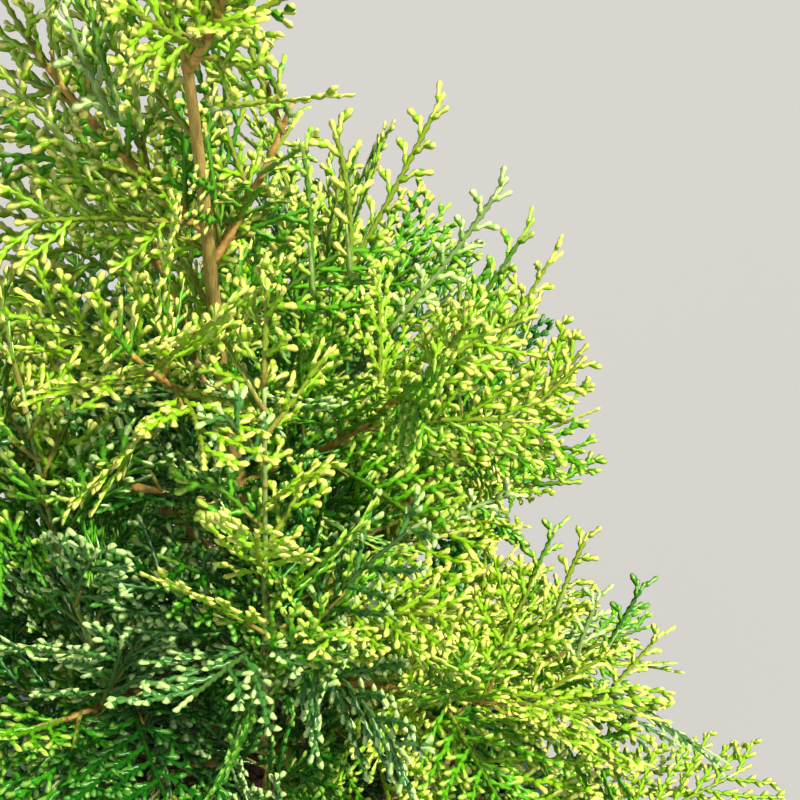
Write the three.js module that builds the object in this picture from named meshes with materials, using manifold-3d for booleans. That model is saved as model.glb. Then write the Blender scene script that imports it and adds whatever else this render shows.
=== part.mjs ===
// A young thuja in a blue nursery pot: pot, potting mix, one leader stem, ascending boughs, and the masses
// of flat sprays that they carry. Millimetres, +Z up, origin at the centre of the pot's flat underside.
import * as THREE from "three";
import { mergeVertices } from "three/addons/utils/BufferGeometryUtils.js";
import Module from "manifold-3d";

const wasm = await Module();
wasm.setup();

// Driving sizes
const CLEAR = 0.3; // gap between pieces that meet
const UP = new THREE.Vector3(0, 0, 1);
const TURN = THREE.MathUtils.degToRad(137.5); // angle from one bough, or one spray, to the next

const potSize = {
  height: 200,
  rimRadius: 121,
  shoulderRadius: 112,
  footRadius: 88,
  wall: 2.4,
  floor: 3.2,
  lipDrop: 13, // height of the turned-out lip
  lipRound: 4.5,
  lipSteps: 3,
  edge: 1, // small chamfers on the lip
  footChamfer: 2.5,
  segments: 36,
  drainHoles: 6,
  drainRadius: 6,
  drainCircle: 66,
  drainSegments: 12,
};

const mixSize = { top: 180 };

const trunkSize = {
  foot: mixSize.top + CLEAR,
  tip: 664,
  footRadius: 5.6,
  tipRadius: 0.9,
  taper: 0.9, // under 1 thins the leader sooner
  flare: 3.4,
  flareFade: 0.028, // share of the height in which the root flare fades
  lean: 9,
  sway: 5,
  swayX: 9, // radians of sway from foot to tip
  swayY: 7,
  sides: 10,
  rings: 18,
};

const crown = {
  low: 203,
  wide: 284,
  top: 716,
  radius: 205,
  shoulder: 0.95, // under 1 fills the cone above its widest height
  margin: 8, // how far a tip may stand out of the cone
  hollows: [
    // dips in the outline, each turning down round the crown by fall millimetres a radian; the last, of
    // negative depth, stands out
    { azimuth: THREE.MathUtils.degToRad(8), z: 385, depth: 0.42, wide: 0.56, high: 40, fall: 143 },
    { azimuth: THREE.MathUtils.degToRad(22), z: 290, depth: 0.28, wide: 0.49, high: 55, fall: 0 },
    { azimuth: THREE.MathUtils.degToRad(20), z: 610, depth: 0.62, wide: 1.2, high: 36, fall: 0 },
    { azimuth: THREE.MathUtils.degToRad(-6), z: 240, depth: -0.26, wide: 0.42, high: 45, fall: 0 },
  ],
  firstTip: 256, // height of the lowest stem's tip
  lastTip: 682,
  masses: 27,
  crowding: 0.62, // under 1 sets the masses closer towards the top
  onTrunkAbove: 0.6, // share of the way up above which a mass grows from the leader itself
  firstAzimuth: THREE.MathUtils.degToRad(-24),
  cellGap: 1.6, // half the clear way between neighbouring masses
};

const boughSize = {
  inner: 0.27, // share of the crown's radius at which a bough becomes its mass's stem
  flatSlope: 0.3, // rise over run of the lowest bough
  steepSlope: 1.7,
  rootSlope: 0.7, // of its slope, between the trunk and that place
  bendAt: 0.55,
  sag: 0.1,
  baseRadius: 3.3,
  tipRadius: 1.9,
  thinning: 0.4, // how much thinner the highest bough is
  sides: 5,
  rings: 3,
};

const stemSize = {
  reach: 0.74, // share of the crown's radius at which a stem ends
  rise: 0.16,
  straight: 0.45, // share of its length in which it keeps its bough's direction
  topLength: 16, // the leader's own last length, above the trunk
  topSprays: 4,
  baseRadius: 1.7,
  tipRadius: 0.8,
  sides: 3,
  rings: 4,
};

const spraySize = {
  perStem: 7,
  perTopStem: 4,
  length: 118,
  topLength: 56,
  shortest: 0.85, // a spray's length varies between these shares
  longest: 1.05,
  shrinks: [1, 0.92, 0.84, 0.75, 0.66], // sizes that are tried where a spray has little room
  rolls: [0, 0.9, -0.9, 1.8], // radians round the stem that are tried in each size
  firstAlong: 0.12, // shares of the stem between which side sprays stand
  lastAlong: 0.86,
  endAlong: 0.94,
  endLength: 0.64, // share of the length for the spray that ends a stem
  spread: THREE.MathUtils.degToRad(52),
  lift: 0.25,
  tilt: 1, // radians either way that a spray is turned about its own midrib
  halfWidth: 0.36, // of its length
  thickness: 1.6,
  stalk: 1,
  lobes: 3,
  firstLobe: 0.12, // share of its length where the lowest lobe starts
  sweep: 0.24, // share of its length that a lobe's tip lies ahead of its start
  valley: 0.3, // of a lobe's width, how far out the notches between lobes lie
  bulgeFrom: 0.3, // stretch of a half wave that its lobes' widths follow
  bulgeTo: 0.92,
};

// A repeatable stream of numbers from 0 to 1.
function seeded(seed) {
  const modulus = 2147483647;
  let state = (seed * 7919 + 104729) % modulus;
  return () => {
    state = (state * 16807) % modulus;
    return state / modulus;
  };
}

const mix = (a, b, t) => a + (b - a) * t;

function polar(radius, azimuth, z) {
  return new THREE.Vector3(radius * Math.cos(azimuth), radius * Math.sin(azimuth), z);
}

// The crown's outer radius: rounded below its widest part, a full cone above it, less its hollows.
function crownRadius(z, azimuth) {
  const above = Math.min(1, Math.max(0, (z - crown.wide) / (crown.top - crown.wide)));
  const below = Math.min(1, Math.max(0, (crown.wide - z) / (crown.wide - crown.low)));
  let radius = crown.radius * (1 - above) ** crown.shoulder * Math.sqrt(1 - below * below);
  for (const { azimuth: middle, z: height, depth, wide, high, fall } of crown.hollows) {
    const aside = Math.atan2(Math.sin(azimuth - middle), Math.cos(azimuth - middle));
    const up = z - height + fall * aside;
    radius *= 1 - depth * Math.exp(-((aside / wide) ** 2) - (up / high) ** 2);
  }
  return radius;
}

// Solids
function solidOf(geometry) {
  const bare = geometry.clone();
  for (const name of Object.keys(bare.attributes)) if (name !== "position") bare.deleteAttribute(name);
  const merged = mergeVertices(bare, 1e-4);
  const mesh = new wasm.Mesh({
    numProp: 3,
    vertProperties: merged.attributes.position.array,
    triVerts: new Uint32Array(merged.index.array),
  });
  return new wasm.Manifold(mesh);
}

function geometryOf(solid) {
  const mesh = solid.getMesh();
  const geometry = new THREE.BufferGeometry();
  geometry.setAttribute("position", new THREE.BufferAttribute(new Float32Array(mesh.vertProperties), 3));
  geometry.setIndex(new THREE.BufferAttribute(new Uint32Array(mesh.triVerts), 1));
  geometry.computeVertexNormals();
  return geometry;
}

function largestBody(solid) {
  return solid.decompose().reduce((best, body) => (body.volume() > best.volume() ? body : best));
}

// A round limb along a curve, with its radius given by a function of the share of the way along.
function limb(curve, radiusAt, sides, rings) {
  const geometry = new THREE.CylinderGeometry(1, 1, 1, sides, rings);
  const frames = curve.computeFrenetFrames(rings, false);
  const position = geometry.attributes.position;
  for (let i = 0; i < position.count; i++) {
    const ring = Math.round((position.getY(i) + 0.5) * rings);
    const share = ring / rings;
    const place = curve.getPointAt(share);
    place.addScaledVector(frames.normals[ring], -position.getX(i) * radiusAt(share));
    place.addScaledVector(frames.binormals[ring], position.getZ(i) * radiusAt(share));
    position.setXYZ(i, place.x, place.y, place.z);
  }
  return solidOf(geometry);
}

// Pot and mix
function potInnerRadius(z) {
  const share = (z - potSize.floor) / (potSize.height - potSize.floor);
  return mix(potSize.footRadius, potSize.shoulderRadius, share) - potSize.wall;
}

function potSolid() {
  const p = potSize;
  const lipLow = p.height - p.lipDrop;
  const outline = [
    [0, 0],
    [p.footRadius - p.footChamfer, 0],
    [p.footRadius, p.footChamfer],
    [mix(p.footRadius, p.shoulderRadius, lipLow / p.height), lipLow],
    [p.rimRadius - p.edge, lipLow],
  ];
  for (let i = 0; i <= p.lipSteps; i++) {
    const angle = (i / p.lipSteps) * (Math.PI / 2);
    const radius = p.rimRadius - p.lipRound + p.lipRound * Math.cos(angle);
    outline.push([radius, p.height - p.lipRound + p.lipRound * Math.sin(angle)]);
  }
  outline.push([potInnerRadius(p.height) + p.edge, p.height]);
  outline.push([potInnerRadius(p.height - p.edge), p.height - p.edge]);
  outline.push([potInnerRadius(p.floor), p.floor], [0, p.floor]);
  const points = outline.map(([radius, z]) => new THREE.Vector2(radius, z));
  let solid = solidOf(new THREE.LatheGeometry(points, p.segments).rotateX(Math.PI / 2));
  for (let i = 0; i < p.drainHoles; i++) {
    const centre = polar(p.drainCircle, ((i + 0.5) / p.drainHoles) * 2 * Math.PI, p.floor / 2);
    const drill = new THREE.CylinderGeometry(p.drainRadius, p.drainRadius, 3 * p.floor, p.drainSegments);
    drill.rotateX(Math.PI / 2).translate(centre.x, centre.y, centre.z);
    solid = solid.subtract(solidOf(drill));
  }
  return solid;
}

function mixSolid() {
  const low = potSize.floor + CLEAR;
  const points = [
    new THREE.Vector2(0, low),
    new THREE.Vector2(potInnerRadius(low) - CLEAR, low),
    new THREE.Vector2(potInnerRadius(mixSize.top) - CLEAR, mixSize.top),
    new THREE.Vector2(0, mixSize.top),
  ];
  return solidOf(new THREE.LatheGeometry(points, potSize.segments).rotateX(Math.PI / 2));
}

// Trunk: a leader that leans and sways a little more the higher it gets.
class TrunkCurve extends THREE.Curve {
  getPoint(share, target = new THREE.Vector3()) {
    const t = trunkSize;
    const bend = share * share;
    return target.set(
      bend * (t.sway * Math.sin(t.swayX * share) - t.lean),
      bend * t.sway * (Math.cos(t.swayY * share) - 1),
      mix(t.foot, t.tip, share),
    );
  }

  getPointAt(share, target) {
    return this.getPoint(share, target);
  }
}

const trunkCurve = new TrunkCurve();

function trunkShare(z) {
  return THREE.MathUtils.clamp((z - trunkSize.foot) / (trunkSize.tip - trunkSize.foot), 0, 1);
}

function trunkSolid(extra = 0) {
  const t = trunkSize;
  const radiusAt = (share) =>
    mix(t.footRadius, t.tipRadius, share ** t.taper) + t.flare * Math.exp(-share / t.flareFade) + extra;
  return limb(trunkCurve, radiusAt, t.sides, t.rings);
}

// The plan of the crown: where a mass's stem starts and ends, and where its bough leaves the trunk.
function planMass(index) {
  const share = 1 - (1 - (index + 0.5) / crown.masses) ** crown.crowding;
  const onTrunk = share > crown.onTrunkAbove;
  const azimuth = crown.firstAzimuth + index * TURN;
  const slope = mix(boughSize.flatSlope, boughSize.steepSlope, share);
  const tipZ = mix(crown.firstTip, crown.lastTip, share);
  const outer = stemSize.reach * crownRadius(tipZ, azimuth);
  const inner = onTrunk ? 0 : boughSize.inner * crownRadius(tipZ, azimuth);
  const startZ = tipZ - slope * (outer - inner);
  const axis = trunkCurve.getPoint(trunkShare(startZ)).setZ(0);
  const foot = trunkCurve.getPoint(trunkShare(startZ - boughSize.rootSlope * slope * inner));
  return {
    index,
    share,
    foot,
    onTrunk,
    start: polar(inner, azimuth, startZ).add(axis),
    tip: polar(outer, azimuth, tipZ).add(axis),
    sprays: Math.round(mix(spraySize.perStem, spraySize.perTopStem, share)),
  };
}

function planTop() {
  const start = trunkCurve.getPoint(1);
  const tip = start.clone().addScaledVector(trunkCurve.getTangent(1), stemSize.topLength);
  return { index: crown.masses, share: 1, foot: null, start, tip, sprays: stemSize.topSprays };
}

const plans = Array.from({ length: crown.masses }, (_, index) => planMass(index));
plans.push(planTop());

function boughCurve(plan) {
  const bend = new THREE.Vector3().lerpVectors(plan.foot, plan.start, boughSize.bendAt);
  bend.z -= boughSize.sag * plan.foot.distanceTo(plan.start);
  return new THREE.QuadraticBezierCurve3(plan.foot, bend, plan.start);
}

function boughSolid(plan, extra = 0) {
  const b = boughSize;
  const thin = 1 - b.thinning * plan.share;
  const radiusAt = (share) => mix(b.baseRadius, b.tipRadius, share) * thin + extra;
  return limb(boughCurve(plan), radiusAt, b.sides, b.rings);
}

// A stem goes on from its bough's tip, or the trunk's, in the same direction, then turns to its own tip.
function stemCurve(plan) {
  const span = plan.start.distanceTo(plan.tip);
  if (plan.onTrunk) {
    const bend = new THREE.Vector3().lerpVectors(plan.start, plan.tip, 0.5);
    bend.z -= stemSize.rise * span;
    return new THREE.QuadraticBezierCurve3(plan.start, bend, plan.tip);
  }
  const heading = plan.foot ? boughCurve(plan).getTangent(1) : trunkCurve.getTangent(1);
  const from = plan.start.clone().addScaledVector(heading, CLEAR);
  const bend = from.clone().addScaledVector(heading, stemSize.straight * span);
  return new THREE.QuadraticBezierCurve3(from, bend, plan.tip);
}

// The space of a mass: inside the crown's outline, and nearer to its own stem than to any other.
function distanceToStem(point, plan) {
  const line = new THREE.Line3(plan.start, plan.tip);
  return line.closestPointToPoint(point, true, new THREE.Vector3()).distanceTo(point);
}

function inSpace(point, plan) {
  const axis = trunkCurve.getPoint(trunkShare(point.z));
  const out = new THREE.Vector2(point.x - axis.x, point.y - axis.y);
  if (point.z < crown.low || point.z > crown.top) return false;
  if (out.length() > crownRadius(point.z, out.angle()) + crown.margin) return false;
  const own = distanceToStem(point, plan) + crown.cellGap;
  return plans.every((other) => other === plan || distanceToStem(point, other) > own);
}

function fits(geometry, plan) {
  const position = geometry.attributes.position;
  const point = new THREE.Vector3();
  for (let i = 0; i < position.count; i++) {
    if (!inSpace(point.fromBufferAttribute(position, i), plan)) return false;
  }
  return true;
}

// A flat spray: a stalk with forward-swept lobes set alternately along it.
function sprayOutline(length) {
  const s = spraySize;
  const edge = (sign, shift) => {
    const points = [];
    for (let i = 0; i < s.lobes; i++) {
      const along = mix(s.firstLobe, 1 - s.sweep, (i + shift) / s.lobes);
      const width = s.halfWidth * length * Math.sin(Math.PI * mix(s.bulgeFrom, s.bulgeTo, along));
      const notch = i === 0 ? s.stalk : s.valley * width;
      points.push(new THREE.Vector2(sign * notch, along * length));
      points.push(new THREE.Vector2(sign * width, (along + s.sweep) * length));
    }
    return points;
  };
  const foot = [new THREE.Vector2(-s.stalk, 0), new THREE.Vector2(s.stalk, 0)];
  return [...foot, ...edge(1, 0), new THREE.Vector2(0, length), ...edge(-1, 0.5).reverse()];
}

function sprayGeometry(base, heading, side, length) {
  const depth = spraySize.thickness;
  const shape = new THREE.Shape(sprayOutline(length));
  const geometry = new THREE.ExtrudeGeometry(shape, { depth, bevelEnabled: false, steps: 1 });
  const across = side.clone().projectOnPlane(heading).normalize();
  const normal = new THREE.Vector3().crossVectors(across, heading);
  const stand = new THREE.Matrix4().makeBasis(across, heading, normal).setPosition(base);
  return geometry.translate(0, 0, -depth / 2).applyMatrix4(stand);
}

// The places on a stem where sprays stand: side ones turn round the stem as they go up it, and one ends it.
// Each place has a few ways to stand, the later ones for where a neighbour is in the way.
function sprayPlaces(plan) {
  const s = spraySize;
  const random = seeded(plan.index + 1);
  const curve = stemCurve(plan);
  const longest = mix(s.length, s.topLength, plan.share);
  const firstRoll = 2 * Math.PI * random();
  const places = [];
  for (let i = 0; i < plan.sprays; i++) {
    const along = mix(s.firstAlong, s.lastAlong, (i + 0.5 * random()) / plan.sprays);
    const tilt = s.tilt * mix(-1, 1, random());
    const length = longest * mix(s.shortest, s.longest, random());
    const tangent = curve.getTangent(along);
    const ways = s.rolls.map((aside) => {
      const out = new THREE.Vector3().crossVectors(tangent, UP).normalize();
      out.applyAxisAngle(tangent, firstRoll + i * TURN + aside);
      const heading = tangent.clone().multiplyScalar(Math.cos(s.spread));
      heading.addScaledVector(out, Math.sin(s.spread)).addScaledVector(UP, s.lift).normalize();
      return { heading, side: tangent.clone().projectOnPlane(heading).applyAxisAngle(heading, tilt) };
    });
    places.push({ base: curve.getPoint(along), ways, length });
  }
  const heading = curve.getTangent(1).addScaledVector(UP, s.lift / 2).normalize();
  const level = new THREE.Vector3().crossVectors(heading, UP);
  level.applyAxisAngle(heading, Math.PI * random());
  const ways = s.rolls.map((aside) => ({ heading, side: level.clone().applyAxisAngle(heading, aside) }));
  places.push({ base: curve.getPoint(s.endAlong), ways, length: longest * s.endLength });
  return places;
}

// A mass: its stem and every spray that stays in its space, clear of the limbs and of the sprays before it.
function massSolid(plan, limbs, fatTrunk) {
  const radiusAt = (share) => mix(stemSize.baseRadius, stemSize.tipRadius, share);
  const stem = limb(stemCurve(plan), radiusAt, stemSize.sides, stemSize.rings);
  let mass = plan.onTrunk ? stem.subtract(fatTrunk) : stem;
  let taken = limbs;
  for (const { base, ways, length } of sprayPlaces(plan)) {
    const tries = spraySize.shrinks.flatMap((shrink) => ways.map((way) => ({ shrink, ...way })));
    for (const { shrink, heading, side } of tries) {
      const geometry = sprayGeometry(base, heading, side, length * shrink);
      if (!fits(geometry, plan)) continue;
      const blade = solidOf(geometry);
      if (blade.intersect(taken).volume() > 0) continue;
      mass = mass.add(blade);
      taken = taken.add(blade);
      break;
    }
  }
  return largestBody(mass);
}

// Looks
const finishes = {
  pot: { color: 0x0f3f86, roughness: 0.45, metalness: 0 },
  mix: { color: 0x3a2a1e, roughness: 1, metalness: 0 },
  bark: { color: 0x8a6040, roughness: 0.9, metalness: 0 },
  foliage: { color: 0x6a9a26, roughness: 0.6, metalness: 0 },
};

const thuja = new THREE.Group();

function place(name, solid, finish) {
  const mesh = new THREE.Mesh(geometryOf(solid), new THREE.MeshStandardMaterial(finishes[finish]));
  mesh.name = name;
  thuja.add(mesh);
}

const numbered = (word, index) => `${word}_${String(index + 1).padStart(2, "0")}`;

place("pot", potSolid(), "pot");
place("potting_mix", mixSolid(), "mix");
place("trunk", trunkSolid(), "bark");

const fatTrunk = trunkSolid(CLEAR);
let fatLimbs = trunkSolid(2 * CLEAR);
for (const plan of plans.filter(({ foot, onTrunk }) => foot && !onTrunk)) {
  const bough = boughSolid(plan).subtract(fatTrunk);
  place(numbered("bough", plan.index), largestBody(bough), "bark");
  fatLimbs = fatLimbs.add(boughSolid(plan, 2 * CLEAR));
}
for (const plan of plans) {
  place(numbered("mass", plan.index), massSolid(plan, fatLimbs, fatTrunk), "foliage");
}

export default thuja;
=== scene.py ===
import math

import bmesh
import bpy
import numpy as np
from mathutils import Matrix, Vector, noise


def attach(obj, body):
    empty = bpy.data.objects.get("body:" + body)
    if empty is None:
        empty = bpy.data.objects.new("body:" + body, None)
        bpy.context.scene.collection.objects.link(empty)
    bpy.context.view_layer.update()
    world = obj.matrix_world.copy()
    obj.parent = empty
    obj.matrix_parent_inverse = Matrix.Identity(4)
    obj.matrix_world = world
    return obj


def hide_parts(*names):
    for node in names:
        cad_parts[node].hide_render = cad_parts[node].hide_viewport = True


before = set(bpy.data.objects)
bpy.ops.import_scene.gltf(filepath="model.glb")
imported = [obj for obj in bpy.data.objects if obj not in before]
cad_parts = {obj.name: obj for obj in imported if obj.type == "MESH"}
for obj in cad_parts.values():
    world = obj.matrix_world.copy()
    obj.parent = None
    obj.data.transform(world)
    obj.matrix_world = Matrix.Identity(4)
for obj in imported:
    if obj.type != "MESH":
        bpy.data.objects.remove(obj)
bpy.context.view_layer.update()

up = Vector((0, 0, 1))
turn = math.radians(137.5)  # angle from one bough, or one spray, to the next
anyWay = (0, 6.3)  # range of a direction drawn at random
clear = 0.0003  # gap between pieces that meet
same = 1e-6  # corners nearer than this are one


def newObject(name, data):
    made = bpy.data.objects.new(name, data)
    bpy.context.scene.collection.objects.link(made)
    return made


def lerp(a, b, t):
    return a + (b - a) * t


def shareOf(z, low, high):
    return np.clip((z - low) / (high - low), 0, 1)


def polar(radius, azimuth, z):
    return Vector((radius * math.cos(azimuth), radius * math.sin(azimuth), z))


# A screen colour, 0 to 255, as the linear colour that sockets hold
def tone(*screen):
    linear = [((c / 255 + 0.055) / 1.055) ** 2.4 if c > 10 else c / 255 / 12.92 for c in screen]
    return (*linear, 1)


# Camera: above and in front of the crown, looking down into it
camera = {"place": (0.051, -0.301, 0.815), "down": math.radians(48), "lens": 63, "sensor": 36}


def makeCamera():
    data = bpy.data.cameras.new("camera")
    data.lens = camera["lens"]
    data.sensor_width = camera["sensor"]
    data.clip_start = 0.01
    eye = newObject("camera", data)
    eye.location = camera["place"]
    eye.rotation_euler = (math.radians(90) - camera["down"], 0, 0)
    bpy.context.scene.camera = eye


makeCamera()
bpy.context.scene.view_settings.view_transform = "Standard"
print("camera set")


# Materials: a wire is one socket, and sums and products of wires add Math nodes
class Wire:
    def __init__(self, tree, socket):
        self.tree = tree
        self.socket = socket

    def combine(self, operation, first, second):
        node = self.tree.nodes.new("ShaderNodeMath")
        node.operation = operation
        plug(self.tree, node.inputs[0], first)
        plug(self.tree, node.inputs[1], second)
        return Wire(self.tree, node.outputs[0])

    def __add__(self, other):
        return self.combine("ADD", self, other)

    __radd__ = __add__

    def __sub__(self, other):
        return self.combine("SUBTRACT", self, other)

    def __rsub__(self, other):
        return self.combine("SUBTRACT", other, self)

    def __mul__(self, other):
        return self.combine("MULTIPLY", self, other)

    __rmul__ = __mul__


def plug(tree, socket, value):
    if isinstance(value, Wire):
        tree.links.new(value.socket, socket)
    else:
        socket.default_value = value


class Finish:
    def __init__(self, name, sockets=None, kind="materials", shader="Principled BSDF"):
        self.data = getattr(bpy.data, kind).new(name)
        self.data.use_nodes = True
        self.tree = self.data.node_tree
        self.shader = self.tree.nodes[shader]
        self.set(sockets or {})

    def set(self, sockets, node=None):
        for name, value in sockets.items():
            plug(self.tree, (node or self.shader).inputs[name], value)

    # Any node: its type, its sockets' values or wires, its output and its settings
    def node(self, kind, sockets=None, output=0, **settings):
        made = self.tree.nodes.new(kind)
        for name, value in settings.items():
            setattr(made, name, value)
        self.set(sockets or {}, made)
        return Wire(self.tree, made.outputs[output])

    def place(self, scale=(1, 1, 1), space="Object"):
        spot = self.node("ShaderNodeTexCoord", output=space)
        return self.node("ShaderNodeMapping", {"Vector": spot, "Scale": scale})

    # Noise: its scale in a metre, its octaves, and how strong each finer one is
    def grain(self, spot, scale, detail, roughness=0.55):
        sockets = {"Vector": spot, "Scale": scale, "Detail": detail, "Roughness": roughness}
        return self.node("ShaderNodeTexNoise", sockets)

    def height(self, spot):
        return self.node("ShaderNodeSeparateXYZ", {"Vector": spot}, "Z")

    def ramp(self, factor, stops):
        wire = self.node("ShaderNodeValToRGB", {"Fac": factor})
        elements = wire.socket.node.color_ramp.elements
        while len(elements) < len(stops):
            elements.new(1)
        for element, (place, shade) in zip(elements, stops):
            element.position = place
            element.color = shade
        return wire

    # Sockets 0, 6 and 7 are the factor and the two colours, and output 2 is their mix
    def blend(self, factor, first, second):
        return self.node("ShaderNodeMix", {0: factor, 6: first, 7: second}, 2, data_type="RGBA")

    # Colour, roughness and bumps, with how high and how strong these are
    def wear(self, base, roughness, height, distance, strength):
        sockets = {"Height": height, "Distance": distance, "Strength": strength}
        bump = self.node("ShaderNodeBump", sockets)
        self.set({"Base Color": base, "Roughness": roughness, "Normal": bump})
        return self


def maskStops(low, high):
    return [(low, (0, 0, 0, 1)), (high, (1, 1, 1, 1))]


# Pieces
def addPiece(name, mesh, finishes, smooth=True):
    piece = newObject(name, mesh)
    for finish in finishes:
        mesh.materials.append(finish.data)
    if smooth:
        mesh.shade_smooth()
    return piece


def shapePiece(name, bm, finishes):
    mesh = bpy.data.meshes.new(name)
    bm.to_mesh(mesh)
    bm.free()
    return addPiece(name, mesh, finishes)


def carry(piece, slot, *nodes):
    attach(piece, "root")
    if nodes:
        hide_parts(*nodes)


# Pot: a rolled lip over a tapering wall, with holes in its floor
pot = {
    "height": 0.2,
    "rimRadius": 0.121, "shoulderRadius": 0.112, "footRadius": 0.088,
    "wall": 0.0024, "floor": 0.0032,
    "lipDrop": 0.013, "lipRound": 0.0045,
    "lipCurl": 0.0016,  # the lip's lower and inner edges turn in
    "lipLedge": 0.0015, "footRound": 0.0025,
    "beads": ((0.152, 0.0011, 0.0032), (0.03, 0.0007, 0.002)),  # height, proudness and half height of each
    "beadSteps": 4, "around": 128, "arcSteps": 7,
    "drainHoles": 6, "drainRadius": 0.006, "drainCircle": 0.066,
    "drainTurn": 0.52,  # of the angle between two holes
    "dustTop": 0.05,
    "blue": tone(10, 62, 132), "paleBlue": tone(26, 92, 164),
    "dust": tone(150, 142, 126), "scuff": tone(120, 160, 200),
}


def potRadius(z):
    return lerp(pot["footRadius"], pot["shoulderRadius"], z / pot["height"])


def potInside(z):
    share = (z - pot["floor"]) / (pot["height"] - pot["floor"])
    return lerp(pot["footRadius"], pot["shoulderRadius"], share) - pot["wall"]


def arc(centre, radius, first, last):
    steps = pot["arcSteps"]
    angles = [lerp(first, last, i / steps) for i in range(steps + 1)]
    return [(centre[0] + radius * math.cos(a), centre[1] + radius * math.sin(a)) for a in angles]


def potOutline():
    quarter = math.pi / 2
    lipLow = pot["height"] - pot["lipDrop"]
    foot, lip, curl = pot["footRound"], pot["lipRound"], pot["lipCurl"]
    outline = [(0, 0)] + arc((pot["footRadius"] - foot, foot), foot, -quarter, 0)
    steps = pot["beadSteps"]
    for height, proud, half in reversed(pot["beads"]):
        for step in range(-steps, steps + 1):
            z = height + half * step / steps
            outline.append((potRadius(z) + proud * math.cos(quarter * step / steps) ** 2, z))
    outline.append((potRadius(lipLow), lipLow - pot["lipLedge"]))
    outline.append((potRadius(lipLow) + pot["lipLedge"], lipLow))
    outline += arc((pot["rimRadius"] - curl, lipLow + curl), curl, -quarter, 0)
    outline += arc((pot["rimRadius"] - lip, pot["height"] - lip), lip, 0, quarter)
    inner = potInside(pot["height"])
    outline += arc((inner + curl, pot["height"] - curl), curl, quarter, 2 * quarter)
    outline += [(potInside(pot["floor"]), pot["floor"]), (0, pot["floor"])]
    return outline


def spinOutline(bm, outline, around):
    verts = [bm.verts.new((radius, 0, z)) for radius, z in outline]
    edges = [bm.edges.new(pair) for pair in zip(verts, verts[1:])]
    spun = {"cent": (0, 0, 0), "axis": up, "angle": math.tau, "steps": around, "use_merge": True}
    bmesh.ops.spin(bm, geom=verts + edges, **spun)
    bmesh.ops.remove_doubles(bm, verts=bm.verts, dist=same)
    bmesh.ops.recalc_face_normals(bm, faces=bm.faces)


def drillFloor(piece):
    bm = bmesh.new()
    for i in range(pot["drainHoles"]):
        azimuth = (i + pot["drainTurn"]) / pot["drainHoles"] * math.tau
        spot = Matrix.Translation(polar(pot["drainCircle"], azimuth, pot["floor"] / 2))
        sizes = {"radius1": pot["drainRadius"], "radius2": pot["drainRadius"], "depth": 4 * pot["floor"]}
        bmesh.ops.create_cone(bm, cap_ends=True, segments=24, matrix=spot, **sizes)
    drills = shapePiece("drills", bm, [])
    cut = piece.modifiers.new("drain holes", "BOOLEAN")
    cut.operation = "DIFFERENCE"
    cut.solver = "EXACT"
    cut.object = drills
    evaluated = piece.evaluated_get(bpy.context.evaluated_depsgraph_get())
    drilled = bmesh.new()
    drilled.from_mesh(evaluated.to_mesh())
    bmesh.ops.remove_doubles(drilled, verts=drilled.verts, dist=2 * same)
    bmesh.ops.dissolve_degenerate(drilled, edges=drilled.edges, dist=same)
    drilled.to_mesh(piece.data)
    drilled.free()
    piece.modifiers.clear()
    bpy.data.objects.remove(drills)


def potFinish():
    finish = Finish("blue pot plastic", {"Specular IOR Level": 0.5})
    spot = finish.place()
    cloud = finish.grain(spot, 14, 3)
    speck = finish.grain(finish.place((1, 1, 0.18)), 260, 3, 0.7)
    scratch = finish.ramp(finish.grain(finish.place((1, 1, 5)), 90, 5, 0.75), maskStops(0.62, 0.72))
    fade = {"Value": finish.height(spot), "From Max": pot["dustTop"], "To Min": 1, "To Max": 0}
    low = finish.node("ShaderNodeMapRange", fade)
    dust = finish.ramp(low * finish.grain(spot, 38, 5, 0.7), maskStops(0.28, 0.62))
    base = finish.blend(cloud, pot["blue"], pot["paleBlue"])
    base = finish.blend(scratch * 0.35, base, pot["scuff"])
    base = finish.blend(dust * 0.55, base, pot["dust"])
    roughness = 0.3 + cloud * 0.16 + dust * 0.3 + scratch * 0.12
    return finish.wear(base, roughness, speck * 0.5 + cloud * 0.8 - scratch * 0.3, 0.0002, 0.5)


def makePot():
    bm = bmesh.new()
    spinOutline(bm, potOutline(), pot["around"])
    piece = shapePiece("pot_shell", bm, [potFinish()])
    drillFloor(piece)
    piece.data.shade_smooth()
    piece.data.set_sharp_from_angle(angle=math.radians(50))
    carry(piece, "pot", "pot")


makePot()
print("pot made")


# Arrays for the many small things
class Heap:
    def __init__(self):
        self.verts, self.tris, self.slots = [], [], []
        self.count = 0

    def add(self, verts, tris, slots):
        self.verts.append(verts)
        self.tris.append(tris + self.count)
        self.slots.append(slots)
        self.count += len(verts)

    def joined(self):
        return [np.concatenate(part) for part in (self.verts, self.tris, self.slots)]

    def piece(self, name, finishes, smooth=True):
        verts, tris, slots = self.joined()
        mesh = bpy.data.meshes.new(name)
        mesh.vertices.add(len(verts))
        mesh.vertices.foreach_set("co", verts.astype(np.float32).ravel())
        mesh.loops.add(tris.size)
        mesh.loops.foreach_set("vertex_index", tris.astype(np.int32).ravel())
        mesh.polygons.add(len(tris))
        mesh.polygons.foreach_set("loop_start", np.arange(0, tris.size, 3, dtype=np.int32))
        mesh.polygons.foreach_set("material_index", slots.astype(np.int32))
        mesh.update(calc_edges=True)
        print(name, len(tris), "triangles")
        return addPiece(name, mesh, finishes, smooth)


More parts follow.
